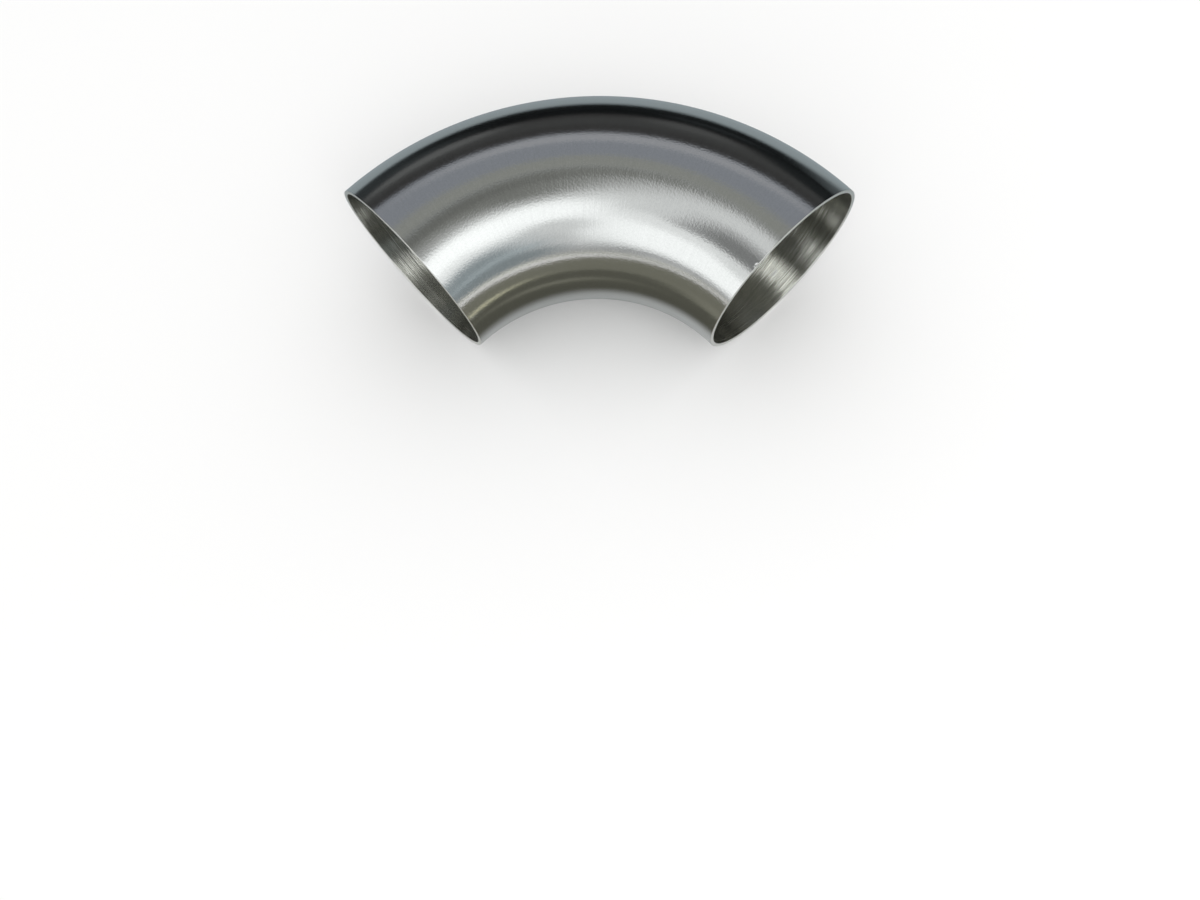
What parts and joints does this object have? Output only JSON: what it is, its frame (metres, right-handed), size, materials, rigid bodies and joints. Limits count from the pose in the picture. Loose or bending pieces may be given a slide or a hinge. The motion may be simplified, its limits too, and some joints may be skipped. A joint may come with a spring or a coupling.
{
  "type": "stainless steel elbow",
  "caption": "Polished right-angle tube elbow for butt welding: one bent length of thin round tube, open through, with square-cut ends and short straight stretches.",
  "frame": {"origin": "centre of port A, on its cut face", "axes": "-X looks out of port A, +Y looks out of port B, and +Z is square to the plane of the bend, up as the elbow lies on its side"},
  "size_m": [0.1838, 0.1838, 0.1016],
  "materials": {
    "polished_steel": "polished outside with fine grinding lines, satin in the bore"
  },
  "bodies": {
    "root": {"elbow": "polished_steel"}
  },
  "joints": []
}
